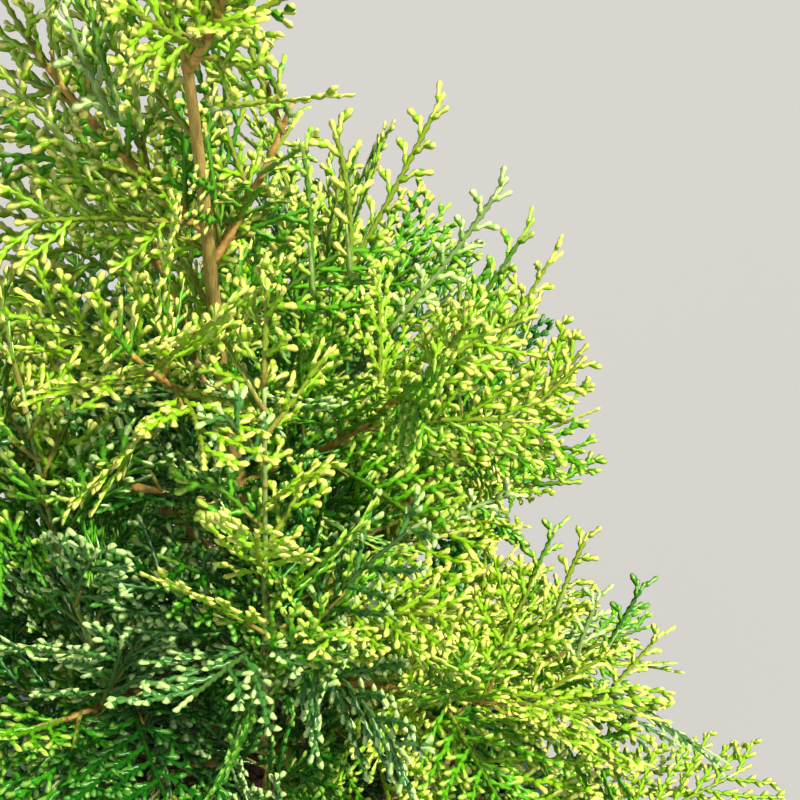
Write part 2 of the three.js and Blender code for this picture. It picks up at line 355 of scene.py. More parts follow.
# Potting mix: an uneven surface under crumbs, bark chips and perlite
mix = {
    "top": 0.18, "bumps": 0.0035,
    "waves": ((30, 3.1, 1), (110, 7.7, 0.45)),  # scale, seed and share of the wide and the fine bumps
    "sunk": 0.001, "around": 96, "across": 30,
    # scraps: gap to the wall, bare share of the area in the middle, and their shapes
    "fromWall": 0.004, "bare": 0.012,
    "long": (0.8, 1.5), "wide": (0.6, 1),
    "uneven": 0.25, "tilt": 0.3, "proud": 0.45,
    "dark": tone(38, 28, 22), "brown": tone(84, 60, 42),
    "chip": tone(120, 80, 52), "white": tone(222, 218, 206), "grey": tone(180, 172, 158),
}


def mixHeight(x, y):
    rise = 0
    for scale, seed, share in mix["waves"]:
        rise += share * noise.noise(Vector((x * scale, y * scale, seed)))
    return mix["top"] + mix["bumps"] * rise - mix["sunk"]


def mixFinish(name, first, second, scale, roughness):
    finish = Finish(name, {"Specular IOR Level": 0.25})
    spot = finish.place()
    coarse = finish.grain(spot, scale, 5, 0.65)
    base = finish.blend(finish.ramp(coarse, maskStops(0.35, 0.68)), first, second)
    height = coarse + finish.grain(spot, scale * 4, 3) * 0.4
    return finish.wear(base, roughness - coarse * 0.15, height, 0.0012, 0.9)


def makeBed():
    low = pot["floor"] + clear
    wall = potInside(mix["top"]) - clear
    outline = [(0, low), (potInside(low) - clear, low)]
    outline += [(wall * (1 - i / mix["across"]), mix["top"]) for i in range(mix["across"] + 1)]
    bm = bmesh.new()
    spinOutline(bm, outline, mix["around"])
    for vert in bm.verts:
        if vert.co.z > mix["top"] - clear:
            vert.co.z = mixHeight(vert.co.x, vert.co.y)
    finish = mixFinish("damp mix", mix["dark"], mix["brown"], scale=160, roughness=0.95)
    carry(shapePiece("mix_bed", bm, [finish]), "mix", "potting_mix")


def pebbleShape():
    bm = bmesh.new()
    bmesh.ops.create_icosphere(bm, subdivisions=1, radius=1)
    verts = np.array([v.co for v in bm.verts])
    tris = np.array([[v.index for v in f.verts] for f in bm.faces])
    bm.free()
    return verts, tris


def scatterMix(name, finish, count, sizes, flat, seed, smooth=True):
    shape, tris = pebbleShape()
    random = np.random.default_rng(seed)
    heap = Heap()
    reach = potInside(mix["top"]) - mix["fromWall"]
    for _ in range(count):
        angle = random.uniform(0, math.tau)
        radius = reach * math.sqrt(random.uniform(mix["bare"], 1))
        x, y = radius * math.cos(angle), radius * math.sin(angle)
        size = random.uniform(*sizes)
        size = size * np.array([random.uniform(*mix["long"]), random.uniform(*mix["wide"]), flat])
        bent = shape * (1 + random.uniform(-mix["uneven"], mix["uneven"], (len(shape), 1))) * size
        tilt, _ = random.normal(0, mix["tilt"], 2)
        rolled = Matrix.Rotation(random.uniform(*anyWay), 3, "Z") @ Matrix.Rotation(tilt, 3, "X")
        z = mixHeight(x, y) + size[2] * mix["proud"]
        heap.add(bent @ np.array(rolled).T + (x, y, z), tris, np.zeros(len(tris)))
    carry(heap.piece(name, [finish], smooth), "mix")


makeBed()
crumbFinish = mixFinish("peat crumbs", mix["dark"], mix["brown"], scale=420, roughness=0.95)
chipFinish = mixFinish("bark chips", mix["brown"], mix["chip"], scale=300, roughness=0.85)
perliteFinish = mixFinish("perlite", mix["white"], mix["grey"], scale=500, roughness=0.8)
scatterMix("mix_crumbs", crumbFinish, count=1500, sizes=(0.0012, 0.0032), flat=0.8, seed=11)
scatterMix("mix_chips", chipFinish, count=420, sizes=(0.003, 0.0075), flat=0.28, seed=12, smooth=False)
scatterMix("mix_perlite", perliteFinish, count=110, sizes=(0.001, 0.0022), flat=0.9, seed=13)
print("potting mix made")


# The leader: it leans and sways a little more the higher it gets
trunk = {
    "foot": mix["top"] + clear, "tip": 0.664,
    "radii": (0.0056, 0.0009), "taper": 0.9,
    "flare": 0.0034, "flareFade": 0.028,
    "lean": 0.009, "sway": 0.005, "swayX": 9, "swayY": 7,
    "sides": 28, "rings": 230,
    "ridges": 0.16,  # depth of the bark's strips as a share of the radius
    "barkScale": 700, "seed": 5,
}

crown = {
    "low": 0.203, "wide": 0.284, "top": 0.716,
    "radius": 0.205, "shoulder": 0.95, "margin": 0.008,
    # azimuth, height, depth (of a bulge below 0), width in radians, half height, fall a radian
    "hollows": (
        (math.radians(8), 0.385, 0.42, 0.56, 0.04, 0.143),
        (math.radians(22), 0.29, 0.28, 0.49, 0.055, 0),
        (math.radians(20), 0.61, 0.62, 1.2, 0.036, 0),
        (math.radians(-6), 0.24, -0.26, 0.42, 0.045, 0),
    ),
    "tips": (0.256, 0.682),  # heights of the first and the last mass's tip
    "masses": 27, "crowding": 0.62,
    "onTrunkAbove": 0.6, "firstAzimuth": math.radians(-24),
    # centre and radius of each open place, which no shoot's end reaches
    "gaps": (
        ((0.034, 0.012, 0.592), 0.032),
        ((0.042, 0.03, 0.567), 0.03),
        ((-0.034, -0.03, 0.617), 0.025),
        ((0.172, -0.02, 0.372), 0.034),
        ((0.168, -0.012, 0.337), 0.023),
    ),
}

bough = {
    "inner": 0.27,
    "slopes": (0.3, 1.7), "rootSlope": 0.7,
    "bendAt": 0.55, "sag": 0.1,
    "radii": (0.0033, 0.0019), "thinning": 0.4,
    "sides": 14, "rings": 34,
    "ridges": 0.14, "barkScale": 900,
    "collar": 0.5,  # how much a bough swells where it leaves the trunk
    "collarFade": 0.07,
}

# Bark in long strips: broad ones and finer ones, each highest near its edges
bark = {
    "girthAt": 0.3,  # where a limb's girth is measured for its pattern
    "around": 1.6, "along": 26, "fine": 0.5, "finer": (2.6, 2.2),  # finer around and along
    "rise": 0.55, "flatten": 0.5, "stretch": 0.12,
    "dark": tone(130, 106, 54), "warm": tone(194, 162, 86), "pale": tone(226, 204, 138),
}

stem = {
    "reach": 0.74, "rise": 0.16, "straight": 0.45, "topLength": 0.016,
    "radii": (0.0018, 0.0007), "sides": 8, "rings": 18,
}


# The chain of random numbers that model.glb's sprays were drawn with, so that sprays grow as they do there
def seeded(seed):
    modulus, factor = 2147483647, 16807
    state = (seed * 7919 + 104729) % modulus  # neighbouring seeds start far apart
    while True:
        state = state * factor % modulus
        yield state / modulus


# How far the leader strays from upright, at one height or with numpy at many
def trunkBend(share, library=math):
    bend = share * share
    x = bend * (trunk["sway"] * library.sin(trunk["swayX"] * share) - trunk["lean"])
    return x, bend * trunk["sway"] * (library.cos(trunk["swayY"] * share) - 1)


def trunkPoint(share):
    return Vector((*trunkBend(share), lerp(trunk["foot"], trunk["tip"], share)))


def trunkShare(z):
    return shareOf(z, trunk["foot"], trunk["tip"])


def trunkRadius(share):
    radius = lerp(*trunk["radii"], share ** trunk["taper"])
    return radius + trunk["flare"] * math.exp(-share / trunk["flareFade"])


def tangentOf(curve, share):
    step = 1e-3
    return (curve(min(1, share + step)) - curve(max(0, share - step))).normalized()


def bendCurve(start, middle, end):
    return lambda t: start * (1 - t) ** 2 + middle * (2 * t * (1 - t)) + end * t * t


# The crown's outer radius: rounded below its widest part, a full cone above, less its hollows
def crownRadius(z, azimuth):
    above = shareOf(z, crown["wide"], crown["top"])
    below = shareOf(z, crown["wide"], crown["low"])
    radius = crown["radius"] * (1 - above) ** crown["shoulder"] * np.sqrt(1 - below * below)
    for middle, height, depth, wide, high, fall in crown["hollows"]:
        aside = np.arctan2(np.sin(azimuth - middle), np.cos(azimuth - middle))
        rise = z - height + fall * aside
        radius = radius * (1 - depth * np.exp(-((aside / wide) ** 2) - (rise / high) ** 2))
    return radius


# Where a mass's stem starts and ends, and where its bough leaves the trunk
def planMass(index):
    share = 1 - (1 - (index + 0.5) / crown["masses"]) ** crown["crowding"]
    onTrunk = share > crown["onTrunkAbove"]
    azimuth = crown["firstAzimuth"] + index * turn
    slope = lerp(*bough["slopes"], share)
    tipZ = lerp(*crown["tips"], share)
    outer = stem["reach"] * float(crownRadius(tipZ, azimuth))
    inner = 0 if onTrunk else bough["inner"] * float(crownRadius(tipZ, azimuth))
    startZ = tipZ - slope * (outer - inner)
    axis = trunkPoint(trunkShare(startZ))
    axis.z = 0
    foot = trunkPoint(trunkShare(startZ - bough["rootSlope"] * slope * inner))
    start = polar(inner, azimuth, startZ) + axis
    tip = polar(outer, azimuth, tipZ) + axis
    plan = {"index": index, "share": share, "onTrunk": onTrunk, "start": start, "tip": tip}
    middle = foot.lerp(start, bough["bendAt"])
    middle.z -= bough["sag"] * (start - foot).length
    plan["bough"] = bendCurve(foot, middle, start)
    plan["stem"] = stemCurve(plan)
    return plan


# A stem goes on as its bough ends, then turns to its own tip
def stemCurve(plan):
    start, tip = plan["start"], plan["tip"]
    span = (tip - start).length
    if plan["onTrunk"]:
        middle = start.lerp(tip, 0.5)
        middle.z -= stem["rise"] * span
        return bendCurve(start, middle, tip)
    heading = tangentOf(plan["bough"], 1)
    return bendCurve(start + heading * clear, start + heading * (clear + stem["straight"] * span), tip)


# The last mass goes straight on from the leader's tip
def planTop():
    start = trunkPoint(1)
    tip = start + tangentOf(trunkPoint, 1) * stem["topLength"]
    plan = {"index": crown["masses"], "share": 1, "onTrunk": True, "start": start, "tip": tip}
    plan["stem"] = bendCurve(start, start.lerp(tip, 0.5), tip)
    return plan


plans = [planMass(index) for index in range(crown["masses"])] + [planTop()]


# A round limb along a curve, wrapped from a flat grid, with strips of bark along it
def wrapLimb(bm, curve, radiusAt, form, reference, seed):
    layer = bm.loops.layers.uv.verify()
    sides, rings = form["sides"], form["rings"]
    made = bmesh.ops.create_grid(bm, x_segments=sides, y_segments=rings, size=1, calc_uvs=False)
    length = (curve(1) - curve(0)).length
    place = {vert: ((vert.co.x + 1) / 2, (vert.co.y + 1) / 2) for vert in made["verts"]}
    girth = math.tau * radiusAt(bark["girthAt"])
    for face in {face for vert in made["verts"] for face in vert.link_faces}:
        for loop in face.loops:
            around, along = place[loop.vert]
            loop[layer].uv = (around * girth, along * length)
    for vert, (around, along) in place.items():
        tangent = tangentOf(curve, along)
        side = tangent.cross(reference).normalized()
        other = side.cross(tangent)
        angle = -math.tau * around
        spot = polar(bark["around"], angle, seed + along * length * bark["along"])
        aside, onward = bark["finer"]
        finer = Vector((spot.x * aside, spot.y * aside, spot.z * onward))
        strip = noise.noise(spot) + bark["fine"] * noise.noise(finer)
        relief = bark["rise"] * strip - bark["flatten"] * max(0, strip) ** 2
        radius = radiusAt(along) * (1 + form["ridges"] * relief)
        vert.co = curve(along) + (side * math.cos(angle) + other * math.sin(angle)) * radius


def closeLimbs(bm):
    bmesh.ops.remove_doubles(bm, verts=bm.verts, dist=same)
    bmesh.ops.holes_fill(bm, edges=[edge for edge in bm.edges if edge.is_boundary], sides=0)
    bmesh.ops.recalc_face_normals(bm, faces=bm.faces)


def barkFinish(name, scale):
    finish = Finish(name, {"Specular IOR Level": 0.3})
    strips = finish.grain(finish.place((scale, scale * bark["stretch"], 1), "UV"), 2.2, 6, 0.68)
    blotches = finish.grain(finish.place(), 95, 3)
    base = finish.ramp(strips, [(0.3, bark["dark"]), (0.52, bark["warm"]), (0.72, bark["pale"])])
    base = finish.blend(finish.ramp(blotches, maskStops(0.45, 0.75)) * 0.5, base, bark["dark"])
    return finish.wear(base, 0.92 - strips * 0.25, strips + blotches * 0.4, 0.0005, 0.8)


def makeTrunk():
    bm = bmesh.new()
    wrapLimb(bm, trunkPoint, trunkRadius, trunk, Vector((0, 1, 0)), trunk["seed"])
    closeLimbs(bm)
    finish = barkFinish("leader bark", trunk["barkScale"])
    carry(shapePiece("leader", bm, [finish]), "bark", "trunk")


def makeBoughs():
    bm = bmesh.new()
    carried = [plan for plan in plans if not plan["onTrunk"]]
    for plan in carried:
        thin = 1 - bough["thinning"] * plan["share"]

        def radiusAt(share):
            collar = 1 + bough["collar"] * math.exp(-share / bough["collarFade"])
            return lerp(*bough["radii"], share) * thin * collar

        wrapLimb(bm, plan["bough"], radiusAt, bough, up, plan["index"])
    closeLimbs(bm)
    finish = barkFinish("bough bark", bough["barkScale"])
    nodes = [f"bough_{plan['index'] + 1:02d}" for plan in carried]
    carry(shapePiece("boughs", bm, [finish]), "bark", *nodes)


makeTrunk()
makeBoughs()
print("leader and boughs made")


# Leaves: strands of scales, each swelling to its tip, on flat sprays
leaf = {
    "node": 0.0034,  # length of one pair of scales
    "width": 0.0025,
    "thick": 0.5,  # of the width
    "waist": 0.54,  # of the width, between one pair of scales and the next
    "tipWaist": 0.66,  # the same on a stubby tip
    "swellAt": 0.62, "taper": 0.18,
    "endGap": 0.14,  # of a pair, from the last ring to the strand's end
    "endSwell": 0.7,
    "endHeight": 0.1,  # of the width
}

spray = {
    "lengths": (0.03, 0.045, 0.06, 0.075, 0.09, 0.105, 0.12),
    "kinds": 3,  # full shapes of each length, then a slender one
    "gap": 0.0052,  # between side shoots along the midrib
    "gaps": (0.85, 1.15),
    "shoots": (0.1, 0.95),  # where the first starts and the last may
    "halfWidth": 0.36, "slenderWidth": 0.1,
    "bulge": (0.3, 0.94),  # part of a half wave that shapes the outline
    "shootAngle": (math.radians(50), math.radians(34)), "angles": (0.9, 1.1),
    "reaches": (0.78, 1.06), "leastPairs": 2,
    "shootBend": math.radians(-14), "bends": (0.4, 1.5),
    "lift": 0.09,
    "youngPairs": 1.4,  # length of a shoot's young tip
    "tipGap": 0.0036,  # between the stubby tips along a shoot
    "firstTip": (1, 1.6),
    "tipLength": (0.0042, 0.0068),
    "tipShrink": (1.25, 0.55),  # size of the first tip, and how much smaller the last is
    "tipWidth": 0.0028,
    "tipSpread": math.radians(36), "spreads": (0.8, 1.2),
    "tipLift": 0.2, "tipYoung": 0.5,
    "midribBend": math.radians(16), "midribWidth": 1.05, "midribYoung": 0.86,
}

# The twig along a spray's midrib, which ends among its scales
midribTwig = {
    "along": (-0.03, 0.34), "height": 0.0004,
    "radii": (0.0009, 0.0004), "sides": 5, "rings": 6,
}

leader = {
    "along": (0.212, 0.672),
    "gap": 0.0085, "gaps": (0.8, 1.2),
    "lengths": (0.092, 0.032), "sizes": (0.75, 1.1),
    "outward": 0.75, "upward": (0.6, 1.1), "rolls": (-1.1, 1.1),
    "tintAt": 0.6, "overlap": 0.03,
    "bareAbove": 0.43,  # higher up, its bark shows in front
    "bareFacing": 0.55,
}

# Upright side shoots, foot and tip of each
shoots = (
    ((0.01, -0.085, 0.44), (0.016, -0.056, 0.55)),
    ((-0.04, -0.075, 0.43), (-0.05, -0.048, 0.54)),
    ((-0.09, -0.06, 0.36), (-0.105, -0.05, 0.47)),
)

# Sprays that stand out of the crown: foot, tip, tint, and roll from facing the camera
lone = (
    ((0.027, -0.025, 0.553), (0.026, -0.017, 0.6), "fresh", 0.9),
    ((0.037, -0.017, 0.553), (0.036, -0.012, 0.604), "sunlit", 0.5),
    ((0.036, 0.009, 0.529), (0.06, 0.031, 0.576), "sunlit", -0.5),
    ((0.048, 0.003, 0.51), (0.081, 0.021, 0.553), "frosted", 0.6),
    ((0.061, 0.007, 0.487), (0.089, 0.021, 0.54), "fresh", -0.3),
    ((0.07, 0.005, 0.478), (0.099, 0.026, 0.517), "sunlit", 0.3),
    ((0.081, 0.007, 0.453), (0.116, 0.021, 0.486), "sunlit", -0.3),
    ((0.007, -0.029, 0.616), (0.044, -0.026, 0.619), "sunlit", 1),
    ((0.06, -0.037, 0.461), (0.086, -0.027, 0.469), "frosted", 0.9),
    ((-0.012, -0.054, 0.472), (-0.045, -0.06, 0.468), "sunlit", 1),
    ((0.094, -0.054, 0.365), (0.106, -0.028, 0.415), "sunlit", 1.2),
    ((0.102, -0.049, 0.383), (0.12, -0.046, 0.398), "sunlit", 0.8),
    ((0.112, -0.042, 0.389), (0.12, -0.028, 0.415), "frosted", 0.2),
    ((-0.02, -0.019, 0.605), (-0.03, -0.006, 0.63), "frosted", 0.4),
    ((-0.017, -0.019, 0.606), (-0.024, -0.008, 0.632), "fresh", -0.5),
    ((-0.03, -0.022, 0.598), (-0.046, -0.013, 0.617), "sunlit", 0.3),
    ((-0.012, -0.026, 0.608), (-0.012, -0.014, 0.636), "sunlit", 1),
    ((0.0205, 0.016, 0.581), (0.012, 0.015, 0.609), "fresh", 0.5),
    ((0.012, 0.008, 0.566), (0.029, -0.001, 0.588), "sunlit", 1),
    ((0.094, -0.025, 0.404), (0.105, -0.011, 0.424), "fresh", 0.4),
    ((0.106, -0.028, 0.402), (0.113, -0.015, 0.418), "sunlit", -0.4),
    ((0.126, -0.025, 0.37), (0.14, -0.012, 0.389), "mid", 0.5),
    ((0.131, -0.028, 0.348), (0.146, -0.018, 0.363), "sunlit", 0.3),
    ((0.079, -0.029, 0.407), (0.082, -0.018, 0.424), "sunlit", 0.9),
)

shoot = {
    "gap": 0.0075, "bow": 0.08,
    "lengths": (0.052, 0.03), "sizes": (0.8, 1.15),
    "outward": 0.8, "endOutward": 0.1,
    "rolls": (-1.2, 1.2), "tintAt": 0.5,
    "overlap": 1,  # only the crown's outline limits it
    "radii": (0.0012, 0.0005), "sides": 6, "rings": 10,
}

boughSpray = {
    "count": 3, "firstAlong": 0.8,
    "turns": (-1.2, 1.2),
    "heading": (0.6, 0.7, 0.5),  # along the bough, outward and upward
    "rolls": (-0.8, 0.8),
    "length": 0.085, "sizes": (0.7, 1.1),
    "tintAt": 0.5, "overlap": 0.03,
}

foliage = {
    "overlap": 0.012,  # how far a twig may reach into its neighbour's space
    "perStem": (15, 11),
    "lengths": (0.114, 0.056), "sizes": (0.8, 1.05),
    "shrinks": (1, 0.84, 0.68, 0.52),
    "along": (0.04, 0.9),
    "endAlong": 0.94, "endLength": 0.6,
    "spread": math.radians(48), "lift": 0.35, "tilt": 1,
    "sag": 0.16, "sags": (0.2, 1),
    "twist": 0.35,
    "droops": (-0.02, 0.14), "cups": (0, 0.25),
    "facingOut": 0.7,  # how much a spray's upper side turns outward
    "leastRoom": 0.45,  # share of its shoots without which a spray is tried smaller
    "tintAt": 0.6,  # how far along its length a spray's tint is chosen
    "endTintAt": 0.4,
    "silverBelow": 0.46,  # higher sprays have green undersides
    "massesPerPiece": 3,
}

# Each mass, bough, shoot and free spray counts its own seed from these
seeds = {"leader": 77, "mass": 500, "bough": 900, "shoot": 1200, "lone": 1300}

# Parts of a spray, the first three with their tint's colours, and kinds of bark on twigs
midribPart, leafPart, youngPart, underPart = range(4)
brownBark, youngBark, greenBark = range(3)


# A point at one share of a strand's length, or with numpy many points
def strandPoint(start, angle, bend, length, lift, share, library=math):
    heading = angle + bend * share / 2
    x = start[0] + share * length * library.sin(heading)
    y = start[1] + share * length * library.cos(heading)
    return x, y, start[2] + share * length * lift


# One strand of scales in the spray's plane: rings of three corners, then a rounded tip
def strand(start, angle, bend, length, lift, width, waist, young, core):
    count = max(1, round(length / leaf["node"]))
    shares, swells = [], []
    for i in range(count):
        shares += [i / count, (i + leaf["swellAt"]) / count]
        swells += [waist, 1]
    shares.append(1 - leaf["endGap"] / count)
    swells.append(leaf["endSwell"])
    share = np.array(shares)
    half = np.array(swells) * width / 2 * (1 - leaf["taper"] * share)
    x, y, z = strandPoint(start, angle, bend, length, lift, share, np)
    across = angle + bend * share
    rings = np.empty((len(share), 3, 3))
    for corner, sign in ((0, -1), (1, 1)):
        aside = sign * half
        rings[:, corner] = np.stack([x + aside * np.cos(across), y - aside * np.sin(across), z], 1)
    rings[:, 2] = np.stack([x, y, z + 2 * half * leaf["thick"]], 1)
    x, y, z = strandPoint(start, angle, bend, length, lift, 1)
    apex = np.array([[x, y, z + width * leaf["endHeight"]]])
    first = np.arange(len(share) - 1)[:, None] * 3
    tris, codes = [np.array([[0, 1, 2]])], [np.array([core])]
    kind = np.where(share[:-1] >= young, youngPart, core)
    for a, b in ((0, 1), (1, 2), (2, 0)):
        for corners in ((a, a + 3, b + 3), (a, b + 3, b)):
            tris.append(first + np.array([corners]))
            codes.append(np.where(kind == youngPart, kind, underPart) if a == 0 else kind)
    last = (len(share) - 1) * 3
    top = len(share) * 3
    tris.append(np.array([[last, top, last + 1], [last + 1, top, last + 2], [last + 2, top, last]]))
    codes.append(np.full(3, youngPart))
    verts = np.concatenate([rings.reshape(-1, 3), apex])
    return verts, np.concatenate(tris), np.concatenate(codes), (x, y, 0)


# A flat spray: midrib, side shoots, and stubby tips along each shoot
def growSpray(length, halfWidth, seed):
    random = np.random.default_rng(seed)
    heap, numbers, ends = Heap(), [], []

    def draw(name):
        return random.uniform(*spray[name])

    def lay(number, *form):
        verts, tris, codes, end = strand(*form)
        heap.add(verts, tris, codes)
        numbers.append(np.full(len(tris), number))
        return end

    ribBend = random.uniform(-1, 1) * spray["midribBend"]
    midrib = ((0, 0, 0), -ribBend / 2, ribBend, length, 0)
    width, waist = leaf["width"], leaf["waist"]
    ends.append(lay(0, *midrib, width * spray["midribWidth"], waist, spray["midribYoung"], midribPart))
    side = 1 if random.uniform() < 0.5 else -1
    first, last = spray["shoots"]
    along = first * length
    while along < last * length:
        share = along / length
        number = len(ends)
        base = strandPoint(*midrib, share)
        local = -ribBend / 2 + ribBend * share
        angle = lerp(*spray["shootAngle"], share) * draw("angles")
        bulge = math.sin(math.pi * lerp(*spray["bulge"], share))
        reach = halfWidth * length * bulge / math.sin(angle) * draw("reaches")
        reach = max(reach, spray["leastPairs"] * leaf["node"])
        bend = side * (spray["shootBend"] * draw("bends"))
        lift = random.normal(0, spray["lift"])
        heading = local + side * angle
        line = (base, heading, bend, reach, lift)
        young = 1 - spray["youngPairs"] * leaf["node"] / reach
        ends.append(lay(number, *line, width, waist, young, leafPart))
        tipSide = side
        step = spray["tipGap"] * draw("firstTip")
        full, loss = spray["tipShrink"]
        while step < reach - leaf["node"] / 2:
            foot = strandPoint(*line, step / reach)
            size = lerp(*spray["tipLength"], random.uniform()) * (full - loss * step / reach)
            spread = tipSide * spray["tipSpread"] * draw("spreads")
            away = heading + bend * step / reach + spread
            form = (foot, away, 0, size, lift + random.normal(0, spray["tipLift"]))
            lay(number, *form, spray["tipWidth"], leaf["tipWaist"], spray["tipYoung"], leafPart)
            tipSide = -tipSide
            step += spray["tipGap"] * draw("gaps")
        side = -side
        along += spray["gap"] * draw("gaps")
    verts, tris, codes = heap.joined()
    numbers, ends = np.concatenate(numbers), np.array(ends)
    return {"verts": verts, "tris": tris, "codes": codes, "shoots": numbers, "ends": ends}


sprayShapes = {}
for order, length in enumerate(spray["lengths"]):
    seed = 100 * order  # with 50 more for the slender shape
    shapes = [growSpray(length, spray["halfWidth"], seed + kind) for kind in range(spray["kinds"])]
    sprayShapes[length] = shapes + [growSpray(length, spray["slenderWidth"], seed + 50)]
print("spray shapes grown")

stemStarts = np.array([plan["start"] for plan in plans])
stemSpans = np.array([plan["tip"] - plan["start"] for plan in plans])


def stemDistances(points):
    away = points[:, None] - stemStarts[None]
    along = np.clip((away * stemSpans).sum(2) / (stemSpans ** 2).sum(1), 0, 1)
    return np.linalg.norm(away - along[..., None] * stemSpans, axis=2)


# Whether each point lies inside the crown and near enough to its own stem
def hasRoom(points, owner, overlap):
    x, y = points[:, :2].T - trunkBend(trunkShare(points[:, 2]), np)
    room = np.hypot(x, y) < crownRadius(points[:, 2], np.arctan2(y, x)) + crown["margin"]
    room &= (points[:, 2] > crown["low"]) & (points[:, 2] < crown["top"])
    for centre, radius in crown["gaps"]:
        room &= np.linalg.norm(points - centre, axis=1) > radius
    distance = stemDistances(points)
    return room & (distance[:, owner] < distance.min(1) + overlap)


# Twists, droops and cups a flat spray, then stands it on the plant
def bendSpray(points, length, form):
    x, y, z = points.T
    angle = form["twist"] * y / length
    wide = x * np.cos(angle) - z * np.sin(angle)
    deep = x * np.sin(angle) + z * np.cos(angle)
    far = (y / length) ** 2
    deep = deep - form["droop"] * length * far - form["cup"] * x * x / length
    across, heading, normal = form["axes"]
    flat = np.outer(wide, across) + np.outer(y, heading) + np.outer(deep, normal)
    flat[:, 2] -= form["sag"] * length * far
    return flat + form["base"]


leafHeaps = {}
twigHeap = Heap()


# A round twig along points, thinner towards its end
def sweepTwig(points, form, code):
    points = np.array(points)
    count, sides = len(points), form["sides"]
    radii = np.linspace(*form["radii"], count)
    tangent = np.gradient(points, axis=0)
    tangent /= np.linalg.norm(tangent, axis=1)[:, None]
    side = np.cross(tangent, (0.31, 0.17, 0.93))  # no twig grows this way
    side /= np.linalg.norm(side, axis=1)[:, None]
    other = np.cross(side, tangent)
    angle = np.arange(sides) / sides * math.tau
    ring = side[:, None] * np.cos(angle)[:, None] + other[:, None] * np.sin(angle)[:, None]
    verts = (points[:, None] + ring * radii[:, None, None]).reshape(-1, 3)
    first = (np.arange(count - 1) * sides)[:, None]
    now, after = np.arange(sides), (np.arange(sides) + 1) % sides
    tris = []
    for a, b in zip(now, after):
        tris.append(first + np.array([[a, b, b + sides]]))
        tris.append(first + np.array([[a, b + sides, a + sides]]))
    verts = np.concatenate([verts, points[:1], points[-1:]])
    foot, top = count * sides, count * sides + 1
    tris.append(np.stack([after, now, np.full(sides, foot)], 1))
    last = (count - 1) * sides
    tris.append(np.stack([now + last, after + last, np.full(sides, top)], 1))
    tris = np.concatenate(tris)
    twigHeap.add(verts, tris, np.full(len(tris), code))


# The piece of foliage that holds a mass; the topmost mass joins the one below
def groupOf(index):
    return min(index, crown["masses"] - 1) // foliage["massesPerPiece"]


# Stands a spray on its twig, less the shoots without room; with no overlap it is slender and whole
def placeSpray(owner, base, heading, side, size, tint, random, overlap=None):
    heading = heading.normalized()
    across = (side - heading * side.dot(heading)).normalized()
    normal = across.cross(heading)
    if normal.z + foliage["facingOut"] * normal.dot(Vector((base.x, base.y, 0)).normalized()) < 0:
        across, normal = -across, -normal
    form = {
        "base": np.array(base),
        "axes": np.array((across, heading, normal)),
        "twist": random.normal(0, foliage["twist"]),
        "droop": random.uniform(*foliage["droops"]),
        "cup": random.uniform(*foliage["cups"]),
        "sag": foliage["sag"] * random.uniform(*foliage["sags"]) * (1 - abs(heading.z)),
    }
    kind = random.integers(spray["kinds"]) if overlap else spray["kinds"]
    for shrink in foliage["shrinks"]:
        length = min(spray["lengths"], key=lambda known: abs(known - size * shrink))
        shape = sprayShapes[length][kind]
        ends = bendSpray(shape["ends"], length, form)
        room = hasRoom(ends, owner, overlap) if overlap else np.ones(len(ends), bool)
        if room[0] and room.mean() > foliage["leastRoom"]:
            break
    else:
        return
    keep = room[shape["shoots"]]
    tris, used = shape["tris"][keep], np.zeros(len(shape["verts"]), bool)
    used[tris.ravel()] = True
    index = np.cumsum(used) - 1
    codes = shape["codes"][keep]
    silvery = random.uniform() < 0.5 and base.z < foliage["silverBelow"]
    perTint = underPart
    slots = np.where(codes == underPart, len(tints) * perTint + silvery, tint * perTint + codes)
    heap = leafHeaps.setdefault(groupOf(owner), Heap())
    heap.add(bendSpray(shape["verts"][used], length, form), index[tris], slots)
    twig = np.zeros((midribTwig["rings"] + 1, 3))
    twig[:, 1] = np.linspace(*midribTwig["along"], len(twig)) * length
    twig[:, 2] = midribTwig["height"]
    sweepTwig(bendSpray(twig, length, form), midribTwig, youngBark if overlap else greenBark)


# Tints, dealt out by spray: midrib, leaf and young tip of each, then two undersides.
# Sunlit, fresh, mid and deep are lit and shaded copies of the foliage, partly its own colour and partly
# painted sunlight and painted shade.
# The pale young tips, palest on silvered and frosted sprays, are partly young growth and bloom and partly
# painted glints
tints = {
    "sunlit": ((124, 148, 28), (138, 186, 24), (206, 212, 96)),
    "fresh": ((80, 130, 16), (90, 164, 14), (167, 197, 70)),
    "mid": ((48, 102, 12), (48, 130, 10), (111, 164, 50)),
    "deep": ((26, 78, 10), (22, 90, 8), (72, 134, 40)),
    "silvered": ((70, 106, 46), (68, 124, 50), (176, 206, 122)),
    "frosted": ((122, 154, 76), (142, 182, 92), (196, 218, 138)),
}
# The green underside is partly the leaf's own colour and partly painted light shining through it
undersides = {"green underside": (80, 152, 22), "silvery underside": (112, 172, 76)}
gloss = {"Roughness": 0.3, "Specular IOR Level": 0.5}
underGloss = {"Roughness": 0.5, "Specular IOR Level": 0.45}


def leafFinishes():
    finishes = []
    for name, shades in tints.items():
        for part, shade in zip(("midrib", "leaf", "tip"), shades):
            finishes.append(Finish(f"{name} {part}", {"Base Color": tone(*shade), **gloss}))
    for name, shade in undersides.items():
        finishes.append(Finish(name, {"Base Color": tone(*shade), **underGloss}))
    return finishes


